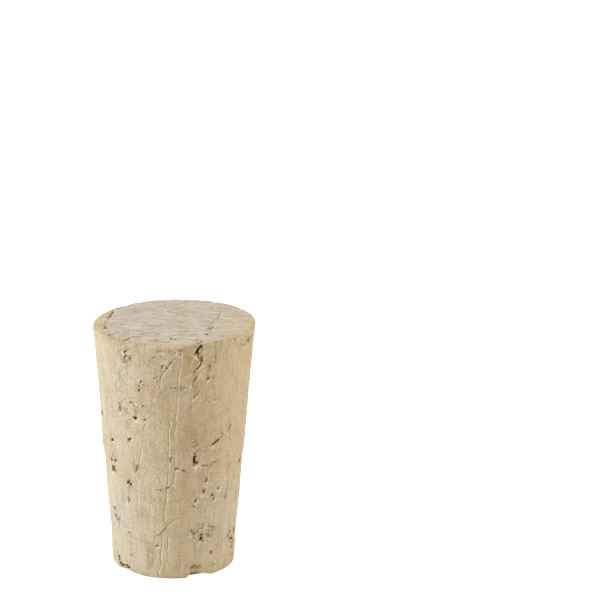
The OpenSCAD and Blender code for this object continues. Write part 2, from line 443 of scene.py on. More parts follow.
openings = [flank_oval(*p) for p in SPLITS + PORES + SIDE_LENTICELS + BACK_PORES + pit_ovals]
openings += [end_oval(1.0, wide_r, wide_end_z, *p) for p in WIDE_END_PORES]
openings += [end_oval(-1.0, narrow_r, lambda x: 0.0, *p) for p in NARROW_END_PORES]
print(len(openings), "openings in all")

# %% [markdown]
# ## Cutting the openings into the skin
#
# For each opening, every point of the skin gets a number q: 0 at the middle, 1 at the rim
# of the oval, more outside. A little noise on q makes the rims ragged. Where q is below 1
# the skin sinks. The distance to the rim, in millimetres, is also kept as an attribute, so
# that the material can draw a rim much finer than the mesh. A pale painted highlight lies on
# the side of each opening away from the strong left lamp, where the far inner wall would
# catch its light, so that side is kept too. This painted highlight is fainter on the wide end
# and from the sides to the back.

# %% Depth, darkness and powder at every point
ragged = 0.4 * noise(skin, 0.35, 11) + 0.3 * noise(skin, 0.16, 12)
depth_per_width = 1.5
deepest = 0.55
least_reach = 0.8  # how far above and below the skin a narrow oval still counts
wall_share = 0.6  # the sloping wall's share of the way from rim to middle
powder_w = 0.15  # how far powder lies past a rim
nearly_black = 0.65  # darkness above which an opening is nearly black, and not brown
highlight_side_limit = 80  # degrees from the front, past which the painted highlight is faint
faint = 0.5
depth = np.zeros(skin.shape[:2])
dark_rim = np.full(skin.shape[:2], -1.0)
brown_rim = np.full(skin.shape[:2], -1.0)
powder_at = np.zeros(skin.shape[:2])
lit_wall_highlight = np.zeros(skin.shape[:2])
away_from_left_lamp = np.array([0.8, 0, -0.6])  # away from the strong left lamp: the side of each opening that gets the painted highlight

for centre, along, across, out, size, width, dark, powder in openings:
    offset = skin - centre
    reach = max(least_reach, width)
    q = np.sqrt((offset @ along / (size / 2)) ** 2 + (offset @ across / (width / 2)) ** 2
                + (offset @ out / reach) ** 2) * (1 + ragged)
    inside = np.clip((1 - q) / wall_share, 0, 1)
    depth = np.maximum(depth, min(depth_per_width * width, deepest) * dark * inside * (2 - inside))
    rim = np.clip((1 - q) * width / 2, -1, 1)
    # how far a point lies on the side of the opening away from the left lamp, where the painted highlight
    # goes
    far_side = (offset @ away_from_left_lamp) / np.maximum(np.linalg.norm(offset, axis=2), 0.05)
    nearest = rim > np.maximum(dark_rim, brown_rim)
    lit_wall_highlight = np.where(nearest, (0.3 + 0.7 * dark) * np.clip(0.2 + far_side, 0, 1), lit_wall_highlight)
    if dark > nearly_black:
        dark_rim = np.maximum(dark_rim, rim)
    else:
        brown_rim = np.maximum(brown_rim, rim)
    past_rim = np.clip((q - 0.8) * width / powder_w, 0, None)
    powder_at = np.maximum(powder_at, powder * np.exp(-past_rim ** 2))

lit_wall_highlight = np.where(on_wide_end | (np.abs(angle_at) > highlight_side_limit), faint * lit_wall_highlight, lit_wall_highlight)
print(f"deepest pore {depth.max():.2f} mm, {np.mean(dark_rim > 0):.2%} of the skin is pore")

# %% [markdown]
# ## Seams, cracks and splits
#
# Where the boundary between two yearly layers comes to the surface at the front, it shows
# as a thin pale seam, partly its own colour and partly a painted highlight, with a line of
# painted shade beside it. Cracks are as thin, but brown, and the splits in them nearly black.
# Each is a line through a few points. The skin keeps its distance to the nearest line,
# positive on one side and negative on the other, so that the place where it is zero is
# sharper than the mesh, and the material can turn it into a line of any width.

# %% Lines, as points of direction and height on the flank, or of X and Y in mm on the end
LAYER_EDGE = [(5.3, 97), (5, 92), (3.3, 86), (3, 77), (2.3, 73.1), (2, 67.1), (0.7, 62.1)]
SEAMS = [
    LAYER_EDGE,
    [(-2.2, 68.1), (-3.7, 60.1), (-4.2, 47.1), (-5.2, 38.6), (-6.5, 32.2), (-7.6, 25.7)],
    [(1.4, 55.1), (1.3, 49.6), (1, 44.1), (0, 40.1)],
    [(-8.2, 21.7), (-9.6, 20.2), (-10.4, 13.5), (-11, 7.2), (-13.8, 2.2)],
    [(-5, 18.2), (-5.2, 12.2), (-5.3, 7.2), (-7, 3.7)],
    [(-0.2, 94), (-4.9, 89.6), (-9.4, 86.3), (-10.1, 82.1)],
    [(-19.7, 68.1), (-23.2, 64.1)], [(-25.3, 56.1), (-28.3, 49.1)],
    [(28.8, 97.5), (29.3, 95.1), (29, 92.6)], [(32.5, 96), (32.6, 93.9), (32, 92.3)],
    [(31.3, 21.8), (26.5, 20.6)], [(22.5, 17.2), (21.7, 15.1), (21.2, 12.5)],
    [(36, 20), (33, 17.5)], [(19.5, 20.6), (18.6, 18.8)], [(28, 19.5), (25.5, 19.3)],
    [(63.7, 17.2), (67.5, 15.1), (64.8, 13.8), (68, 10.7)], [(59.6, 17.6), (62.2, 16.1), (59.1, 15.5)],
    # the first line here stands at the chip's broken left end, and its pale side is a painted highlight on
    # that edge
    [(14.9, 5.4), (14.4, 3.1)], [(27.1, 20.3), (31.3, 20.5), (35.5, 19.7)],
    [(3.5, 26), (-1.6, 24.4), (-6.6, 22.2)], [(-13.4, 19), (-17.4, 16.9)],
    [(1.1, 44.1), (0.6, 42.1), (-3.5, 40)],
]
CRACKS = [
    [(-6.6, 22.2), (-10.6, 20.2), (-13.4, 19)], [(-4.7, 39.8), (-7.2, 39)], [(-11.7, 38.6), (-13.6, 38.6)],
    [(3.6, 48.1), (8.4, 46.9)], [(-31.4, 94.6), (-32.9, 93.6)], [(21.2, 95.4), (20, 94.4)],
    [(16.8, 90), (15.2, 89)], [(38.1, 58.5), (41.4, 60.2)], [(23.5, 48.5), (28, 48.3)],
    [(30.5, 47.6), (33.1, 49.1), (37.4, 49.5)], [(41.8, 60.4), (39.1, 58.7), (36.5, 58), (33.4, 57.4)],
    [(49.5, 63.1), (48.1, 61.1)], [(30.4, 95.4), (30.8, 93.6)], [(26.7, 90.7), (27.2, 89.4)],
    [(72.5, 96.8), (65.3, 96.4)], [(15.5, 57), (17.1, 57.4), (18.5, 58)],
    [(15.2, 55.6), (17.1, 54.7), (19.4, 55.4)], [(15.5, 59), (17.6, 59.3)],
    [(-63.8, 26.4), (-62.7, 25.3)], [(-60.5, 23.4), (-62.7, 21.8), (-59.6, 21)],
    [(-58.2, 22.5), (-54.8, 22)], [(35.5, 19.7), (40.8, 20)], [(16.4, 20.3), (17.4, 19)],
    [(21.2, 20.5), (20, 19.3)], [(31.8, 17.6), (33.4, 16.7)], [(62.4, 15), (65.6, 13.2), (62, 12.5)],
    [(16.7, 86.4), (14.5, 85.2), (13.4, 83.2)], [(18.8, 80.7), (16.8, 79.3), (14.6, 77.8)],
    [(51, 34.7), (49.5, 31.7)], [(27.2, 22.5), (32.1, 21.7), (37.1, 21)], [(16.4, 50.1), (17.2, 54.6)],
]
DARK_SPLITS = [
    [(18.1, 99.3), (16.5, 98.1), (14.8, 97)], [(16.4, 97.2), (17.6, 94.9)], [(19.7, 99.6), (20.2, 98.3)],
    [(20, 94.6), (19.7, 93.2), (18.5, 91.3), (16.8, 90)], [(73.2, 97.8), (72.5, 96.8)],
    [(-35.1, 96.3), (-37.7, 95.3), (-36.2, 94.2), (-37.8, 92.7)], [(-33.6, 93.9), (-32.8, 92.2)],
    [(32.8, 57.2), (35.2, 57.7), (38.1, 58.5)], [(-62.2, 4.7), (-59.1, 2.4), (-55.4, 1.5)],
]
END_CRACKS = [
    [(-7.6, 5.3), (-7.7, 3.7), (-8.1, 1.7)], [(-8.4, 0.8), (-8.5, -1.7)],
    [(5.8, 3.7), (5.3, 0.9), (4.8, 0.3)], [(4.5, -1.3), (4.2, -2.9), (3.9, -3.8)],
    [(-7.5, -4.5), (-7, -3.6), (-6.4, -3.9), (-5.9, -4.7)],
]
END_SPLITS = [[(-6.2, -7.4), (-5.8, -6.9), (-5.3, -6.4)], [(-7.6, 4.7), (-7.7, 3.7), (-8, 2.5)]]
print(len(SEAMS), "seams,", len(CRACKS + END_CRACKS), "cracks,", len(DARK_SPLITS + END_SPLITS), "splits")

# %% Distance to the nearest line
far = 9.0  # mm, given where there is no line
near = 0.12


def line_field(lines, offset_to, region):
    """Signed distance in mm to the nearest line. Once it isn't near, it grows five times as
    fast, so that it never nears zero halfway between two lines that are close together."""
    nearest = np.full(skin.shape[:2], far)
    side = np.ones(skin.shape[:2])
    sway = 0.08 * noise(skin, 0.9, 41) + 0.04 * noise(skin, 0.35, 42)
    for line in lines:
        for start, end in zip(line[:-1], line[1:]):
            x, z = offset_to(*start)
            end_x, end_z = offset_to(*end)
            step_x, step_z = x - end_x, z - end_z
            x = x + sway
            t = np.clip((x * step_x + z * step_z) / (step_x ** 2 + step_z ** 2), 0, 1)
            distance = np.hypot(x - t * step_x, z - t * step_z)
            side = np.where(distance < nearest, np.sign(x * step_z - z * step_x), side)
            nearest = np.minimum(nearest, distance)
    field = side * (nearest + 4 * np.clip(nearest - near, 0, None))
    return np.clip(np.where(region, field, far), -far, far)


seam = line_field(SEAMS, flank_offset, on_flank)
crack = line_field(CRACKS, flank_offset, on_flank)
crack = np.where(on_wide_end, line_field(END_CRACKS, end_offset, on_wide_end), crack)
split = line_field(DARK_SPLITS, flank_offset, on_flank)
split = np.where(on_wide_end, line_field(END_SPLITS, end_offset, on_wide_end), split)
print(f"{np.mean(np.abs(seam) < 0.1):.2%} of the skin is seam")

# %% [markdown]
# ## Layers, stains and crumbly spots
#
# To the right of the long seam the surface lies in the next yearly layer, which is pinker.
# Ochre stains lie along the seam and round the foot, and pale spots, most of them at the
# left; the smallest and brightest are painted highlights, at the chip's broken left end and
# below a cluster of pores, where an edge catches the light. Round the openings the bark is
# crumbly, full of specks and wrinkles, while in between it is nearly smooth. Some stretches
# have fine upright ribs.

# %% Fields of colour and crumb
# degrees from the front, height in %, half width mm, half height mm, strength
PINK_LAYER = [(16, 62, 3.6, 4.6, 1), (12, 36, 2.8, 4.6, 1), (9, 8, 2.6, 2.4, 0.6)]
PINK_SPOTS = [(-8, 91, 2, 1.6, 0.9), (0, 90, 0.9, 2.5, 0.7), (-6, 87, 2.2, 2.4, 0.8),
              (-14, 52, 1.2, 1.6, 0.5), (48, 22, 1.4, 4, 0.4), (-25, 10, 1.5, 1.6, 0.4),
              (150, 60, 4, 6, 0.8), (-130, 30, 4, 5, 0.8), (-170, 85, 4, 3, 0.6)]
# pale spots of the bark; the two of strength 2.5, at the chip's broken left end and below the cluster of
# pores near 25 degrees, are painted highlights where an edge catches the light
PALE_SPOTS_AND_HIGHLIGHTS = [(-50, 54, 1.3, 1.1, 0.8), (-32, 41, 1, 1, 0.7), (-44, 84, 1.6, 2.4, 0.8),
              (-25, 89, 1.3, 1.3, 0.5), (-48, 66, 2.5, 4, 0.5), (-45, 8, 2, 1.5, 0.6),
              (-55, 26, 3.5, 7, 0.8), (-35, 18, 3, 5, 0.5), (-62, 90, 2.5, 3, 0.4), (-72, 70, 1.6, 5, 0.6),
              (56, 20, 3, 6, 0.6), (32, 24, 2.6, 5, 0.6), (14.5, 4.1, 0.2, 0.4, 2.5),
              (-42.4, 7.6, 0.3, 0.3, 0.8), (62.5, 95.9, 0.2, 0.2, 1),
              (23.3, 14.9, 0.3, 0.5, 2.5), (19.4, 19.9, 0.2, 0.2, 1.5), (29, 14.9, 0.25, 0.2, 1.5),
              (32.8, 20, 0.2, 0.2, 1.5), (38.5, 19.6, 0.2, 0.25, 1.2),
              (-160, 50, 2, 3, 0.5), (120, 20, 2, 3, 0.5)]
RUST_SPOTS = [(18.4, 4.6, 0.5, 0.34, 1.4), (22.8, 4.6, 0.5, 0.34, 1.5), (-34.9, 96.6, 0.9, 0.6, 0.4),
              (-60, 43.3, 0.35, 0.3, 2), (-57, 21.7, 0.3, 0.3, 0.9), (66.8, 96, 0.4, 0.3, 1),
              (16.6, 52.4, 0.3, 0.7, 0.5), (24.7, 16.4, 0.5, 0.4, 0.5),
              (32.8, 56.8, 0.3, 0.25, 0.7), (17.5, 98, 0.4, 0.5, 0.4),
              (19.9, 92.5, 0.4, 1, 0.25), (-39.5, 38.9, 0.5, 0.4, 0.4), (73.8, 44.4, 0.4, 0.5, 0.7)]
OCHRE_SPOTS = [(11, 92, 1.6, 2, 0.9), (-1.5, 62, 0.5, 2.4, 0.5), (-6, 0.4, 3.2, 0.5, 0.8),
               (26, 3, 2, 0.8, 0.5), (-14, 89, 1, 0.8, 0.5), (-6, 88, 2.2, 2.2, 0.5),
               (0, 98.3, 6, 0.6, 0.3), (1, 25, 1.8, 4, 0.7),
               (-58, 46, 0.9, 1.4, 0.4), (73, 13, 0.6, 2.4, 0.5), (64, 97, 0.8, 0.7, 0.6)]
CRUMBLY_SPOTS = [(-36, 94, 1.5, 1.2, 0.8), (-42, 84, 1.6, 2.6, 0.6), (-24, 81, 0.8, 1.8, 0.8),
                 (-36, 70, 2.2, 2, 0.8), (-20, 73, 1.2, 0.9, 0.7), (-13, 95, 1, 0.9, 0.7),
                 (3, 82.5, 1.3, 0.6, 1), (16, 79, 0.9, 1, 0.9), (18, 93, 1, 1.6, 0.5),
                 (30, 93, 1.2, 1.6, 0.6), (60, 97, 1.4, 0.8, 0.8), (-58, 45, 1.2, 1.2, 0.8),
                 (-30, 46, 1, 1.2, 0.5), (-39, 38, 0.9, 0.8, 0.6), (-57, 22, 1.2, 1.4, 0.8),
                 (-55, 2, 2, 0.8, 1), (17, 52, 0.9, 1.6, 0.9), (7, 46, 1.2, 0.9, 0.7),
                 (-7, 40, 1.4, 0.7, 0.6), (33, 48.5, 0.8, 0.6, 0.7), (30, 35, 1.2, 1.2, 0.5),
                 (25, 18.5, 1.6, 1.4, 1), (70, 11, 1, 3, 0.9), (19, 4, 1, 0.8, 0.8),
                 (50, 33, 0.9, 1, 0.6), (-42, 13, 1.2, 2, 0.5), (-20, 30, 2.2, 2.6, 0.4),
                 (-20, 14, 2, 2, 0.3), (-10, 55, 1.6, 2.4, 0.3), (0, 98.7, 9, 0.7, 1)]
RIBBED_SPOTS = [(-18, 17, 3.2, 5, 1), (-8, 6, 3, 2, 0.8), (-20, 33, 2.5, 3, 0.6),
                (30, 93, 1.5, 1.6, 0.8), (60, 25, 3, 6, 0.5), (45, 90, 3, 2.5, 0.5),
                (120, 40, 5, 8, 0.5), (-110, 60, 5, 8, 0.5), (180, 15, 5, 4, 0.7)]
print(len(CRUMBLY_SPOTS), "crumbly spots")

# %% The fields at every point
# the edge of the pinker layer: its direction at each height, from the foot to the wide end
low_edge = [(2, -9), (18, -6), (30, -3), (40, 0.5), (50, 1.7)]
edge_heights = [(height, angle) for angle, height in LAYER_EDGE[::-1]]
heights, angles = np.array(low_edge + edge_heights).T
past_edge = (angle_at - np.interp(height_at / length * 100, heights, angles)) * math.pi / 180 * radius_at
layer_blend_w = 0.25
right_of_seam = np.clip(past_edge / layer_blend_w, 0, 1) * on_flank
pink = np.maximum(soft_spots(PINK_LAYER) * right_of_seam, soft_spots(PINK_SPOTS))
pale = soft_spots(PALE_SPOTS_AND_HIGHLIGHTS)
powder_at = np.maximum(powder_at, soft_spots(RUST_SPOTS))
# near the wide end the ochre stays to the right of the seam
ochre = soft_spots(OCHRE_SPOTS) * np.where(height_at > 0.7 * length, right_of_seam, 1)
scattered = np.clip(0.9 * noise(skin, 2.2, 51), 0, 1) * (np.abs(angle_at) > 85)
crumb = np.maximum(soft_spots(CRUMBLY_SPOTS), scattered * on_flank)
ribbed = soft_spots(RIBBED_SPOTS)
print(f"{np.mean(crumb > 0.3):.0%} of the skin is crumbly, {np.mean(pink > 0.3):.0%} pink")

# %% [markdown]
# ## The chips, the worn edges and the wander
#
# A piece has broken out of the foot's edge at the front right, steep at its left end and
# thinning out to the right, and a smaller one at the front left. The rows of the grid next
# to them are squeezed together rather than cut, so that the mesh stays one clean skin. The
# edges are nibbled, and the whole form is a few hundredths of a millimetre out of round.

# %% Shape the skin
CHIPS = [(26, 3.6, 0.7), (-47, 3.0, 0.25)]  # direction, width mm, height mm
chip_break_w, chip_flat_w, chip_reach, chip_back_w = 0.5, 0.7, 1.2, 0.3
chip_zone = 1.3  # height of the rows that are squeezed to make room


def chip_rise(angle, width, height):
    """How far a chip lifts the foot's edge: up a steep break, level, and down a long slope."""
    a = math.radians(angle)
    out = skin @ np.array([math.sin(a), -math.cos(a), 0.0])
    along = skin @ np.array([math.cos(a), math.sin(a), 0.0]) + 0.05 * noise(skin, 0.4, 22)
    break_x = chip_break_w - width / 2
    rise = np.interp(along, [-width / 2, break_x, break_x + chip_flat_w, width / 2],
                     [0, height, height, 0])
    return rise * np.clip((chip_reach - narrow_r + out) / chip_back_w, 0, 1)


squeeze = sum(chip_rise(*chip) for chip in CHIPS) * (1 + 0.1 * noise(skin, 0.35, 21))
squeeze *= np.clip(1 - height_at / chip_zone, 0, 1)

nibble_depth, low_nibble_w, top_nibble_w = 0.16, 0.5, 0.35
below_top = wide_end_z(skin[..., 0]) - height_at
near_edge = np.exp(-(height_at / low_nibble_w) ** 2) + np.exp(-(below_top / top_nibble_w) ** 2)
nibble = nibble_depth * np.clip(noise(skin, 0.55, 23) - 0.3, 0, 1) * np.clip(near_edge, 0, 1)
nibble *= radius_at > narrow_r - low_nibble_w  # the middles of the ends stay whole
wander = 0.04 * noise(skin, 7.0, 31) + 0.015 * noise(skin, 1.6, 32) + 0.006 * noise(skin, 0.5, 33)
flank_share = 1 - np.abs(outward[..., 2])
shaped = skin + outward * (wander * flank_share - depth - nibble)[..., None]
shaped[..., 2] = np.maximum(shaped[..., 2], 0) + squeeze
print(f"chip {squeeze.max():.2f} mm high, edges nibbled by up to {nibble.max():.2f} mm")

# %% [markdown]
# ## The mesh
#
# The grid becomes quads, with a fan of triangles at each pole. The flank is unrolled into
# one strip of the map and the two ends lie under it as discs, all at one scale, so that a
# baked picture of the cork keeps the same sharpness everywhere.

# %% Faces and map


def with_poles(grid):
    """The grid's points in one list, and after them the middles of its two end rings."""
    return np.concatenate([grid.reshape(-1, 3), [grid[0].mean(axis=0), grid[-1].mean(axis=0)]])


def grid_faces():
    """Quads between neighbouring rings, and the two fans that close the poles."""
    i = np.arange(around)
    after = (i + 1) % around
    j = np.arange(rows - 1)[:, None] * around
    quads = np.stack([j + i, j + after, j + around + after, j + around + i], axis=-1)
    last = (rows - 1) * around
    low_pole, high_pole = rows * around, rows * around + 1
    low_fan = np.stack([after, i, np.full(around, low_pole)], axis=-1)
    high_fan = np.stack([last + i, last + after, np.full(around, high_pole)], axis=-1)
    return quads.reshape(-1, 4), low_fan, high_fan


def unrolled(quads, low_fan, high_fan):
    """Map places per corner: angle and height on the flank, plain discs on the ends. They
    come from the smooth skin, so that no face of the map is squeezed flat."""
    points = with_poles(skin)
    mean_r = 9
    margin, strip_w, strip_y = 0.02, 0.96, 0.42  # these and the next as shares of the map's side
    low_disc_x, high_disc_x, disc_y = 0.62, 0.2, 0.2
    scale = strip_w / (2 * math.pi * mean_r)
    row_of = np.repeat(np.arange(rows - 1), around)
    column = np.tile(np.arange(around), rows - 1)
    x, y, z = points[:, 0], points[:, 1], points[:, 2]
    low_disc = np.stack([low_disc_x + x * scale, disc_y + y * scale], axis=-1)
    high_disc = np.stack([high_disc_x + x * scale, disc_y + y * scale], axis=-1)
    corner_column = column[:, None] + np.array([0, 1, 1, 0])
    strip = np.stack([margin + strip_w * corner_column / around, strip_y + z[quads] * scale], axis=-1)
    place = np.where((row_of < first_flank_row)[:, None, None], low_disc[quads], strip)
    place = np.where((row_of >= last_flank_row)[:, None, None], high_disc[quads], place)
    return np.concatenate([place.reshape(-1, 2), low_disc[low_fan].reshape(-1, 2),
                           high_disc[high_fan].reshape(-1, 2)])


print(sum(len(part) for part in grid_faces()), "faces to build")

# %% Build the mesh


def new_object(name, data):
    """Puts a mesh, a lamp or a camera into the scene, as an object of this name."""
    thing = bpy.data.objects.new(name, data)
    bpy.context.scene.collection.objects.link(thing)
    return thing


def mesh_from_grid(name, grid, layers):
    """A closed mesh from the grid, in metres, with one float attribute per named layer."""
    points = with_poles(grid)
    quads, low_fan, high_fan = grid_faces()
    corners = np.concatenate([quads.ravel(), low_fan.ravel(), high_fan.ravel()])
    sizes = np.concatenate([np.full(len(quads), 4), np.full(2 * around, 3)])
    mesh = bpy.data.meshes.new(name)
    mesh.vertices.add(len(points))
    mesh.loops.add(len(corners))
    mesh.polygons.add(len(sizes))
    mesh.vertices.foreach_set("co", (points * MM).ravel())
    mesh.loops.foreach_set("vertex_index", corners)
    mesh.polygons.foreach_set("loop_start", np.cumsum(sizes) - sizes)
    mesh.polygons.foreach_set("loop_total", sizes)
    mesh.polygons.foreach_set("use_smooth", np.ones(len(sizes), dtype=bool))
    for layer, values in layers.items():
        ends = [values[0].mean(), values[-1].mean()]
        attribute = mesh.attributes.new(layer, "FLOAT", "POINT")
        attribute.data.foreach_set("value", np.concatenate([values.ravel(), ends]))
    uv = mesh.uv_layers.new(name="OFBake")
    uv.data.foreach_set("uv", unrolled(quads, low_fan, high_fan).ravel())
    mesh.update(calc_edges=True)
    mesh.validate()
    return mesh


# the greyer pink of the wide end keeps away from its worn front edge, goes over its back edge
# and lies between the lenticels, and the narrow end has a little less of it
worn_w = np.interp(skin[..., 1], [-2, 4], [0.6, -0.6])
within_edge = np.clip(wide_r - worn_w - radius_at + 0.35 * noise(skin, 0.9, 61), 0, 1)
between_lenticels = np.interp(skin[..., 0], [-8.4, -7.2, 4.8, 7.5], [0.1, 1, 1, 0.65])
narrow_end_share = 0.7
end_face = within_edge * between_lenticels
end_face[:last_flank_row - edge_rows] = 0.0
end_face[:first_flank_row] = narrow_end_share
skin_layers = {
    "dark_rim": dark_rim, "brown_rim": brown_rim, "powder": powder_at, "seam": seam,
    "crack": crack, "split": split, "pink": pink, "pale": pale, "ochre": ochre,
    "lit_wall_highlight": lit_wall_highlight, "crumb": crumb, "ribbed": ribbed, "end_face": end_face}
cork_mesh = mesh_from_grid("cork_stopper", shaped, skin_layers)
cork = new_object("cork_stopper", cork_mesh)
print(len(cork_mesh.polygons), "faces,", len(cork_mesh.vertices), "points")

# %% [markdown]
# ## Helpers for materials
#
# A colour is written as the sRGB hex value that a colour picker shows. The renderer works
# with linear light, so one function turns it. One more function empties a node tree, and
# one adds a node.

# %% Colour and node helpers


def linear(hex_colour):
    """Linear RGBA from sRGB hex: the two-part curve of the sRGB standard."""
    parts = np.array([int(hex_colour[k:k + 2], 16) / 255 for k in (1, 3, 5)])
    flat = np.where(parts <= 0.04045, parts / 12.92, ((parts + 0.055) / 1.055) ** 2.4)
    return (*flat.tolist(), 1.0)


def empty_tree(owner):
    """Turns on the nodes of a material or a world and removes those it starts with."""
    owner.use_nodes = True
    owner.node_tree.nodes.clear()
    return owner.node_tree


def add(tree, kind, inputs=None, output=0, **settings):
    """Adds a node with its settings, and gives each input a value or a link. Sockets go by
    number or by identifier, and the output that is asked for comes back."""
    node = tree.nodes.new("ShaderNode" + kind)
    for name, value in settings.items():
        setattr(node, name, value)
    ins = {**dict(enumerate(node.inputs)), **{one.identifier: one for one in node.inputs}}
    outs = {**dict(enumerate(node.outputs)), **{one.identifier: one for one in node.outputs}}
    for name, value in (inputs or {}).items():
        if isinstance(value, bpy.types.NodeSocket):
            tree.links.new(value, ins[name])
        else:
            ins[name].default_value = value
    return outs.get(output)


print("cork in linear light:", [round(c, 3) for c in linear("#cdbb99")])

# %% [markdown]
# ## Natural cork
#
# Cork is a dead, dry foam of cells a thirtieth of a millimetre across, with waxy walls. It
# is matt from close by, but seen at a slant the wax gives it a pale sheen. The yearly
# layers lie across the front-to-back direction, so a pattern that is squeezed along Y and
# drawn out along X and Z draws lines on the ends, streaks on the sides and soft patches at
# the front, all from one rule. The cells themselves are too fine to show, so the grain is
# drawn six times as coarse.

# %% Start the cork material
cork_finish = bpy.data.materials.new("natural_cork_cut_and_ground")
tree = empty_tree(cork_finish)
place = add(tree, "TexCoord", output="Object")
place = add(tree, "VectorMath", {0: place, "Scale": 1 / MM}, operation="SCALE")

# lumps per millimetre along X, Y and Z, octaves, roughness, distortion
BARK = {
    "patches": ((0.2, 0.3, 0.16), 2, 0.5, 0.0),
    "clouds": ((0.6, 0.9, 0.45), 2, 0.5, 0.3),
    "layers": ((0.12, 0.8, 0.08), 2, 0.55, 0.2),
    "rows": ((0.7, 4.0, 0.6), 2, 0.5, 0.0),
    "dashes": ((0.7, 1.8, 1.6), 2, 0.6, 0.3),
    "mottle": ((1.9, 1.9, 1.6), 1, 0.5, 0.5),
    "grain": ((5.0, 5.0, 5.0), 2, 0.6, 0.0),
    "waves": ((1.3, 1.3, 1.0), 1, 0.5, 0.8),
    "ripples": ((2.4, 2.4, 2.0), 1, 0.5, 0.8),
    "ribs": ((2.2, 2.2, 0.2), 2, 0.5, 0.4),
    "gaps": ((1.0, 1.0, 0.9), 1, 0.5, 0.0),
}
bark = {}
# each pattern is moved to a place of its own, so that no two have their lumps together
for number, (name, (per_mm, octaves, roughness, distortion)) in enumerate(BARK.items()):
    stretched = add(tree, "Mapping", {"Vector": place, "Scale": per_mm,
                                      "Location": (7.3 * number, 0, 3.1 * number)})
    bark[name] = add(tree, "TexNoise", {"Vector": stretched, "Scale": 1.0, "Detail": octaves,
                                        "Roughness": roughness, "Distortion": distortion})
print(len(bark), "patterns of the bark")

# %% Marks that the skin carries
mark = {}
for layer in skin_layers:
    mark[layer] = add(tree, "Attribute", output="Fac", attribute_name=layer)
# a seam is a groove: its pale right side, this many mm from its middle, is partly the seam's own
# paler colour and partly a painted highlight on the wall that faces the left lamp, and its dark
# left side is painted shade on the wall that faces away
pale_lit_side_at, shaded_side_at = 0.06, 0.13
mark["pale_lit_side"] = add(tree, "Math", {0: mark["seam"], 1: pale_lit_side_at}, operation="ADD")
mark["shaded_side"] = add(tree, "Math", {0: mark["seam"], 1: shaded_side_at}, operation="SUBTRACT")
for layer in ("seam", "pale_lit_side", "shaded_side", "crack", "split"):
    mark[layer] = add(tree, "Math", {0: mark[layer]}, operation="ABSOLUTE")
mark["opening"] = add(tree, "Math", {0: mark["dark_rim"], 1: mark["brown_rim"]}, operation="MAXIMUM")
# a pale ring just outside each opening: partly the rim's own paler colour and partly a painted highlight
# on the raised edge round it
mark["lip"] = mark["opening"]
# mm by which a pattern moves the edge of a mark: the grain frays it, and the mottle makes
# it wider in some places and breaks it off in others
FRAYS = [
    ("dark_rim", "grain", 0.3), ("brown_rim", "grain", 0.4), ("seam", "grain", 0.15),
    ("crack", "grain", 0.3), ("split", "grain", 0.2), ("opening", "grain", 0.3),
    ("pale_lit_side", "grain", 0.2), ("shaded_side", "grain", 0.2),
    ("lip", "mottle", 0.9), ("seam", "mottle", 0.2), ("pale_lit_side", "mottle", 0.25),
    ("shaded_side", "mottle", 0.3), ("crack", "mottle", 0.4), ("split", "mottle", 0.25),
]
for layer, pattern, fray in FRAYS:
    moved = add(tree, "Math", {0: bark[pattern], 1: fray, 2: -fray / 2}, operation="MULTIPLY_ADD")
    mark[layer] = add(tree, "Math", {0: mark[layer], 1: moved}, operation="ADD")
print(len(mark), "marks")

# %% [markdown]
# ## Wrinkles, specks and flecks
#
# A wrinkle is a short curved line: the place where a wavy pattern is just at its middle
# value, cut into lengths by another pattern. Specks are dots in some of the cells of a
# Voronoi pattern, which is long front to back, as the breathing channels are. Flecks are
# such dots too, but pale and raised. All three are strong where the bark is crumbly and
# faint elsewhere, and ribs are strong in spots of their own.

# %% Wrinkles
wrinkles = 0.0
gap = add(tree, "MapRange", {"Value": bark["gaps"], "From Min": 0.47, "From Max": 0.6})
for wave, width in (("waves", 0.02), ("ripples", 0.045)):
    off = add(tree, "Math", {0: bark[wave], 1: 0.5}, operation="SUBTRACT")
    off = add(tree, "Math", {0: off}, operation="ABSOLUTE")
    line = add(tree, "MapRange", {"Value": off, "From Max": width, "To Min": 1.0, "To Max": 0.0})
    wrinkles = add(tree, "Math", {0: line, 1: gap, 2: wrinkles}, operation="MULTIPLY_ADD")
print(len(tree.nodes), "nodes with the wrinkles")

# %% Specks and flecks
# dots per millimetre along X, Y and Z, share of the cells without one, largest radius
SPECKS = {
    "specks": ((1.6, 0.8, 1.6), 0.55, 0.3),
    "tiny_specks": ((3.2, 1.6, 3.2), 0.5, 0.34),
    "flecks": ((2.6, 1.8, 2.2), 0.5, 0.4),
}
dots = {}
for name, (per_mm, empty, largest) in SPECKS.items():
    stretched = add(tree, "Mapping", {"Vector": place, "Scale": per_mm})
    distance = add(tree, "TexVoronoi", {"Vector": stretched, "Scale": 1.0}, output="Distance")
    chance = add(tree, "SeparateColor", {0: distance.node.outputs["Color"]})
    size = add(tree, "MapRange", {"Value": chance, "From Min": empty, "To Max": largest})
    frayed = add(tree, "Math", {0: bark["grain"], 1: 0.4, 2: distance}, operation="MULTIPLY_ADD")
    inside = add(tree, "Math", {0: size, 1: frayed}, operation="SUBTRACT")
    dots[name] = add(tree, "MapRange", {"Value": inside, "From Min": -0.2, "From Max": -0.08})
crumbly = add(tree, "MapRange", {"Value": mark["crumb"], "To Min": 0.12, "To Max": 1.0})
bark["wrinkles"] = add(tree, "Math", {0: wrinkles, 1: crumbly}, operation="MULTIPLY")
for name, dot in dots.items():
    bark[name] = add(tree, "Math", {0: dot, 1: crumbly}, operation="MULTIPLY")
ribs = add(tree, "Math", {0: bark["ribs"], 1: 0.5}, operation="SUBTRACT")
rib_share = add(tree, "MapRange", {"Value": mark["ribbed"], "To Min": 0.3, "To Max": 1.0})
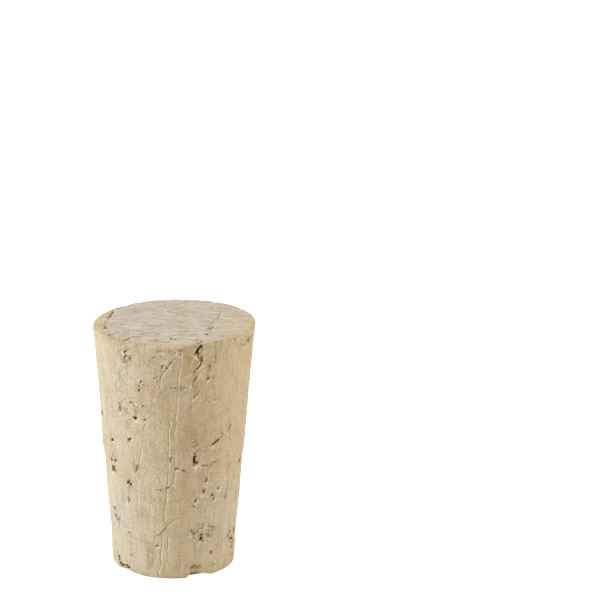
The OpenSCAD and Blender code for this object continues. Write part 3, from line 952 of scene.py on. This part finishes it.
bark["ribs"] = add(tree, "Math", {0: ribs, 1: rib_share}, operation="MULTIPLY")
print(len(tree.nodes), "nodes in the patterns")

# %% [markdown]
# ## From patterns to colour
#
# All the soft patterns are added into one number, the tone: 0 where the cork has its plain
# colour, more where it is paler, less where it is darker. The colour is then built up in
# coats. Each coat is one mark and the value at which it starts to show, the value at which
# it covers as much as it ever does, how much that is, and its colour.

# %% Tone and relief
# for each pattern: its middle value, its share in the tone of the flank and in that of an
# end, and its share in the relief
PATTERNS = {
    "clouds": (0.5, 1.1, 0.5, 0.3), "layers": (0.5, 1.2, 0.5, 0.3),
    "rows": (0.5, 0.5, 1.8, 0.3), "dashes": (0.5, 0.4, 4.5, 0.8),
    "mottle": (0.5, 0.4, 1.0, 0.7), "grain": (0.5, 2.6, 3.5, 2.4), "ribs": (0, 3.1, 0, 2.8),
    "wrinkles": (0, -1.2, -0.3, -1.2), "specks": (0, -1.2, -0.3, -1.3),
    "tiny_specks": (0, -1.2, -0.3, -1.1), "flecks": (0, 2.2, 0.3, 1.3),
}
tone = -sum(middle * flank for middle, flank, end, height in PATTERNS.values())
end_tone = -sum(middle * end for middle, flank, end, height in PATTERNS.values())
relief = 0.0
for name, (middle, flank, end, height) in PATTERNS.items():
    tone = add(tree, "Math", {0: bark[name], 1: flank, 2: tone}, operation="MULTIPLY_ADD")
    end_tone = add(tree, "Math", {0: bark[name], 1: end, 2: end_tone}, operation="MULTIPLY_ADD")
    relief = add(tree, "Math", {0: bark[name], 1: height, 2: relief}, operation="MULTIPLY_ADD")
tone = add(tree, "Mix", {"Factor_Float": mark["end_face"], "A_Float": tone, "B_Float": end_tone},
           output="Result_Float")
pinkish = add(tree, "MapRange", {"Value": bark["patches"], "From Min": 0.5, "From Max": 0.65,
                                 "To Max": 0.5})
pinkish = add(tree, "Math", {0: pinkish, 1: mark["pink"]}, operation="MAXIMUM")
dusty = add(tree, "MapRange", {"Value": bark["grain"], "From Min": 0.35, "From Max": 0.6,
                               "To Min": 0.3, "To Max": 1.0})
dusty = add(tree, "Math", {0: dusty, 1: mark["powder"]}, operation="MULTIPLY")
# painted highlight: pale on the side of each opening away from the left lamp, where its far wall would be
# lit
painted_rim_highlight = add(tree, "MapRange", {"Value": mark["lip"], "From Min": -0.22, "From Max": -0.1})
painted_rim_highlight = add(tree, "Math", {0: painted_rim_highlight, 1: mark["lit_wall_highlight"]}, operation="MULTIPLY")
print("tone from", len(PATTERNS), "patterns")

# %% Coats of colour
COATS = [
    (mark["end_face"], 0.0, 1.0, 1.0, "#d1c5b4"),
    (pinkish, 0.0, 1.0, 0.8, "#c9b08b"),
    (mark["ochre"], 0.0, 1.0, 0.9, "#c6ad78"),
    (mark["pale"], 0.0, 1.0, 0.8, "#dcd0ba"),
    (tone, 0.0, 2.0, 0.9, "#ecdcbe"),
    (tone, 0.0, -2.0, 0.9, "#8e6a26"),
    # painted shade on the seam's left wall, then its pale right side: partly its own colour, partly a
    # painted highlight where that wall faces the left lamp
    (mark["shaded_side"], 0.26, 0.06, 0.6, "#926e2c"),
    (mark["pale_lit_side"], 0.25, 0.08, 0.85, "#f4e2bc"),
    (mark["crack"], 0.18, 0.06, 0.2, "#a8843c"),
    (mark["crack"], 0.12, 0.02, 0.6, "#704a00"),
    # pale ring round each opening: partly its own paler colour, partly a painted highlight on the raised
    # edge
    (mark["lip"], -0.22, -0.1, 0.45, "#f2e0be"),
    (mark["opening"], -0.07, 0.0, 0.5, "#a07c30"),
    # painted highlight on the side of each opening away from the left lamp
    (painted_rim_highlight, 0.05, 0.75, 0.85, "#ffecc8"),
    (mark["brown_rim"], -0.04, 0.07, 0.75, "#784e00"),
    (dusty, 0.1, 0.8, 0.95, "#c08e4a"),
    (mark["dark_rim"], -0.05, 0.02, 0.8, "#8c5c00"),
    (mark["dark_rim"], -0.01, 0.07, 1.0, "#4c2c00"),
    (mark["split"], 0.22, 0.08, 0.45, "#966808"),
    (mark["split"], 0.12, 0.03, 1.0, "#3a2000"),
]
colour = linear("#d6c29a")
for field, starts, full, share, hex_colour in COATS:
    cover = add(tree, "MapRange", {"Value": field, "From Min": starts, "From Max": full,
                                   "To Max": share})
    colour = add(tree, "Mix", {"Factor_Float": cover, "A_Color": colour, "B_Color": linear(hex_colour)},
                 output="Result_Color", data_type="RGBA")
print(len(COATS), "coats of colour")

# %% Grooves, rims and the shader
# a mark, where its step starts and is full in mm, and the step's share in the relief
STEPS = [
    ("seam", 0.2, 0.04, -1.5), ("crack", 0.2, 0.03, -1.2), ("split", 0.24, 0.03, -2.0),
    ("opening", -0.26, -0.1, 0.8), ("opening", -0.09, 0.04, -2.4),
]
for layer, starts, full, height in STEPS:
    step = add(tree, "MapRange", {"Value": mark[layer], "From Min": starts, "From Max": full})
    relief = add(tree, "Math", {0: step, 1: height, 2: relief}, operation="MULTIPLY_ADD")
bump = add(tree, "Bump", {"Height": relief, "Strength": 0.75, "Distance": 0.13 * MM})
sheen = add(tree, "MapRange", {"Value": mark["opening"], "From Min": -0.1, "From Max": 0.0,
                               "To Min": 0.2, "To Max": 0.0})
shader = add(tree, "BsdfPrincipled", {"Base Color": colour, "Normal": bump, "Roughness": 0.6,
                                      "IOR": 1.5, "Specular IOR Level": sheen})
add(tree, "OutputMaterial", {"Surface": shader})
cork_mesh.materials.append(cork_finish)
print(len(tree.nodes), "nodes in the cork")

# %% [markdown]
# ## The studio
#
# A small object on a white sweep, between two soft boxes: a strong one at the left and a
# weaker one at the right, so that the front right of the cork is its darkest part. A third,
# weak one is above. To the camera the paper is white, because it glows a little for rays
# that show it directly, and the cork's shadow on it stays.

# %% Floor
floor_mesh = bpy.data.meshes.new("floor")
half = 2.0  # half the paper's side, in metres
corners = [(-half, -half, 0), (half, -half, 0), (half, half, 0), (-half, half, 0)]
floor_mesh.from_pydata(corners, [], [(0, 1, 2, 3)])
floor = new_object("floor", floor_mesh)


def seen_directly(tree):
    """1 for rays that show the white surround itself: from the camera, or by a mirror or
    glass."""
    ray = add(tree, "LightPath", output="Is Camera Ray").node.outputs
    seen = add(tree, "Math", {0: ray["Is Camera Ray"], 1: ray["Is Glossy Ray"]}, operation="MAXIMUM")
    return add(tree, "Math", {0: seen, 1: ray["Is Transmission Ray"]}, operation="MAXIMUM")


sweep = bpy.data.materials.new("white_paper_sweep")
paper = empty_tree(sweep)
matt = add(paper, "BsdfDiffuse", {"Color": linear("#f0f0f0")})
glow = add(paper, "Emission", {"Strength": 0.78})
bright = add(paper, "AddShader", {0: matt, 1: glow})
surface = add(paper, "MixShader", {0: seen_directly(paper), 1: matt, 2: bright})
add(paper, "OutputMaterial", {"Surface": surface})
floor_mesh.materials.append(sweep)
print(f"paper {2 * half:.0f} m wide")

# %% Lights


def soft_box(name, azimuth, elevation, distance, size, watts, tint):
    """A square area lamp that faces the cork's middle from this direction, in degrees, with
    its distance and size in metres."""
    lamp = bpy.data.lights.new(name, "AREA")
    lamp.size, lamp.energy, lamp.color = size, watts, linear(tint)[:3]
    holder = new_object(name, lamp)
    a, e = math.radians(azimuth), math.radians(elevation)
    away = np.array([math.sin(a) * math.cos(e), -math.cos(a) * math.cos(e), math.sin(e)])
    holder.location = away * distance + np.array([0, 0, length * MM / 2])
    holder.rotation_euler = (math.pi / 2 - e, 0, a)


soft_box("left_box", -78, 24, 0.5, 0.3, 2.08, "#e4edff")
soft_box("right_box", 88, 25, 0.5, 0.3, 1.0, "#fffaf0")
soft_box("top_box", 0, 80, 0.6, 0.4, 0.8, "#ffffff")

world = bpy.data.worlds.new("studio")
air = empty_tree(world)
room = add(air, "Background", {"Color": linear("#fffcf6"), "Strength": 0.44})
white = add(air, "Background", {"Color": linear("#ffffff"), "Strength": 1.0})
sky = add(air, "MixShader", {0: seen_directly(air), 1: room, 2: white})
add(air, "OutputWorld", {"Surface": sky})
bpy.context.scene.world = world
bpy.context.scene.view_settings.view_transform = "Standard"
print(len(bpy.data.lights), "lamps and the room's own light")

# %% [markdown]
# ## The camera
#
# The cork is seen from a little above, through a long lens, and stands low at the left of
# a square picture. The camera aims past it, up and to the right.

# %% Camera
camera_data = bpy.data.cameras.new("camera")
camera = new_object("camera", camera_data)
camera_distance = 450  # in millimetres, as are the next lengths
camera_elevation = math.radians(18.9)
picture_w = 74.4  # width of the picture at the cork's distance
aim_right, aim_up = 15.62, 17.49  # from the cork's middle to the middle of the picture
camera_data.sensor_width = 36
camera_data.lens = camera_data.sensor_width * camera_distance / picture_w
back = Vector((0, -math.cos(camera_elevation), math.sin(camera_elevation)))
up = Vector((0, math.sin(camera_elevation), math.cos(camera_elevation)))
middle = Vector((0, 0, length / 2))
aim = middle + Vector((aim_right, 0, 0)) + aim_up * up
camera.location = (middle + camera_distance * back) * MM
look = aim * MM - camera.location
camera_roll = Quaternion((0, 0, 1), math.radians(0.72))
camera.rotation_mode = "QUATERNION"
camera.rotation_quaternion = look.to_track_quat("-Z", "Y") @ camera_roll
camera_data.clip_start, camera_data.clip_end = 0.01, 10
bpy.context.scene.camera = camera
print(f"lens {camera_data.lens:.0f} mm at {camera_distance} mm")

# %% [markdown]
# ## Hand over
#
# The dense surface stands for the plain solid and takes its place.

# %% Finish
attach(cork, "root")
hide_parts("stopper")
